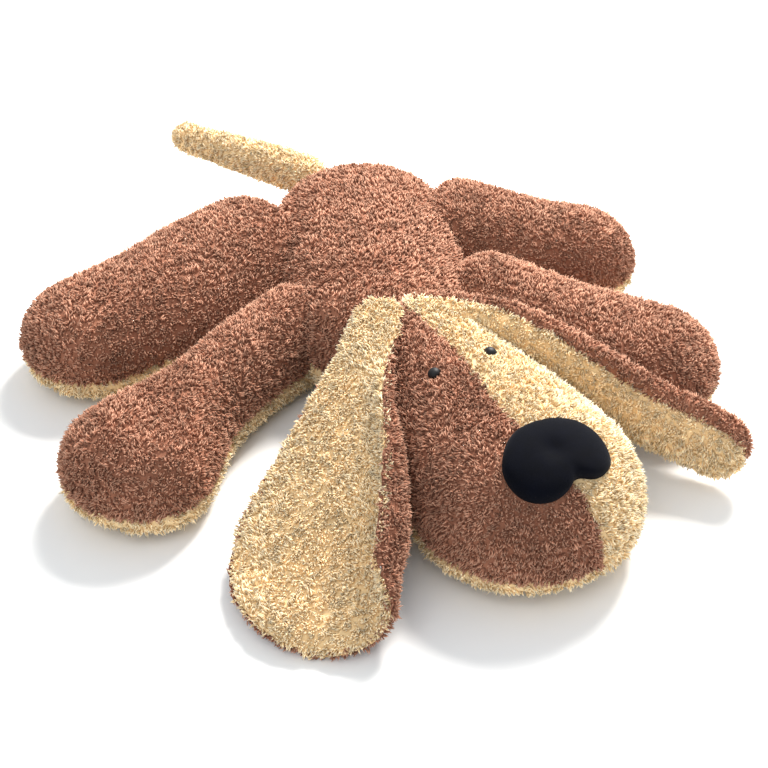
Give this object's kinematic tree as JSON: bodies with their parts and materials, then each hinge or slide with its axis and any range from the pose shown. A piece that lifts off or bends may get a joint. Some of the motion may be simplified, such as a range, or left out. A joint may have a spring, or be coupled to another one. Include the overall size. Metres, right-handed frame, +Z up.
{
  "type": "floppy plush dog",
  "caption": "Floppy plush dog lying flat, brown curly pile above and cream below, with long ears, a padded nose and seams that bend.",
  "frame": {"origin": "on the surface that the dog lies on, below the middle of the whole toy", "axes": "+Z up, the nose points along -Y, the dog's right side is -X"},
  "size_m": [0.4803, 0.5437, 0.0952],
  "materials": {
    "brown_plush": "curly long pile plush, reddish brown",
    "cream_plush": "curly long pile plush, golden cream",
    "fibre_fill": "loose polyester fibre",
    "ear_batting": "thin sheet batting",
    "nose_velour": "short smooth velour, blue black",
    "eye_plastic": "moulded gloss black",
    "washer_plastic": "moulded natural plastic"
  },
  "bodies": {
    "trunk": {"back_panel": "brown_plush", "belly_panel": "cream_plush", "trunk_stuffing": "fibre_fill"},
    "head": {"face_panel_brown": "brown_plush", "face_panel_cream": "cream_plush", "chin_panel": "cream_plush", "head_stuffing": "fibre_fill", "nose_patch": "nose_velour", "eye_right": "eye_plastic", "eye_left": "eye_plastic", "eye_washer_right": "washer_plastic", "eye_washer_left": "washer_plastic"},
    "ear_right": {"ear_right_outer": "brown_plush", "ear_right_lining": "cream_plush", "ear_right_batting": "ear_batting"},
    "ear_left": {"ear_left_outer": "brown_plush", "ear_left_lining": "cream_plush", "ear_left_batting": "ear_batting"},
    "tail": {"tail_cover": "cream_plush", "tail_stuffing": "fibre_fill"},
    "hind_right_leg": {"hind_right_leg_top": "brown_plush", "hind_right_leg_sole": "cream_plush", "hind_right_leg_stuffing": "fibre_fill"},
    "hind_left_leg": {"hind_left_leg_top": "brown_plush", "hind_left_leg_sole": "cream_plush", "hind_left_leg_stuffing": "fibre_fill"},
    "front_right_leg": {"front_right_leg_top": "brown_plush", "front_right_leg_sole": "cream_plush", "front_right_leg_stuffing": "fibre_fill"},
    "front_left_leg": {"front_left_leg_top": "brown_plush", "front_left_leg_sole": "cream_plush", "front_left_leg_stuffing": "fibre_fill"}
  },
  "joints": [
    {"name": "neck_nod", "type": "hinge", "parent": "trunk", "child": "head", "pos_m": [0.028, -0.058, 0.046], "axis": [-0.9744, -0.225, 0], "range_deg": [0, 25]},
    {"name": "hind_right_leg_lift", "type": "hinge", "parent": "trunk", "child": "hind_right_leg", "pos_m": [-0.0553, 0.1063, 0.068], "axis": [-0.454, 0.891, 0], "range_deg": [0, 35]},
    {"name": "hind_left_leg_lift", "type": "hinge", "parent": "trunk", "child": "hind_left_leg", "pos_m": [0.1027, 0.1001, 0.068], "axis": [-0.4226, -0.9063, 0], "range_deg": [0, 35]},
    {"name": "front_right_leg_lift", "type": "hinge", "parent": "trunk", "child": "front_right_leg", "pos_m": [-0.0513, 0.0033, 0.068], "axis": [-0.6947, 0.7193, 0], "range_deg": [0, 22]},
    {"name": "front_left_leg_lift", "type": "hinge", "parent": "trunk", "child": "front_left_leg", "pos_m": [0.0953, 0.0043, 0.068], "axis": [-0.6947, -0.7193, 0], "range_deg": [0, 20]},
    {"name": "ear_right_lift", "type": "hinge", "parent": "head", "child": "ear_right", "pos_m": [-0.024, -0.072, 0.07], "axis": [-0.9336, 0.3584, 0], "range_deg": [0, 45]},
    {"name": "ear_left_lift", "type": "hinge", "parent": "head", "child": "ear_left", "pos_m": [0.092, -0.081, 0.07], "axis": [-0.7431, -0.6691, 0], "range_deg": [0, 30]},
    {"name": "tail_wag", "type": "hinge", "parent": "trunk", "child": "tail", "pos_m": [-0.01, 0.192, 0.06], "axis": [0, 0, 1], "range_deg": [-30, 30], "stiffness_Nm_per_rad": 0.05}
  ]
}
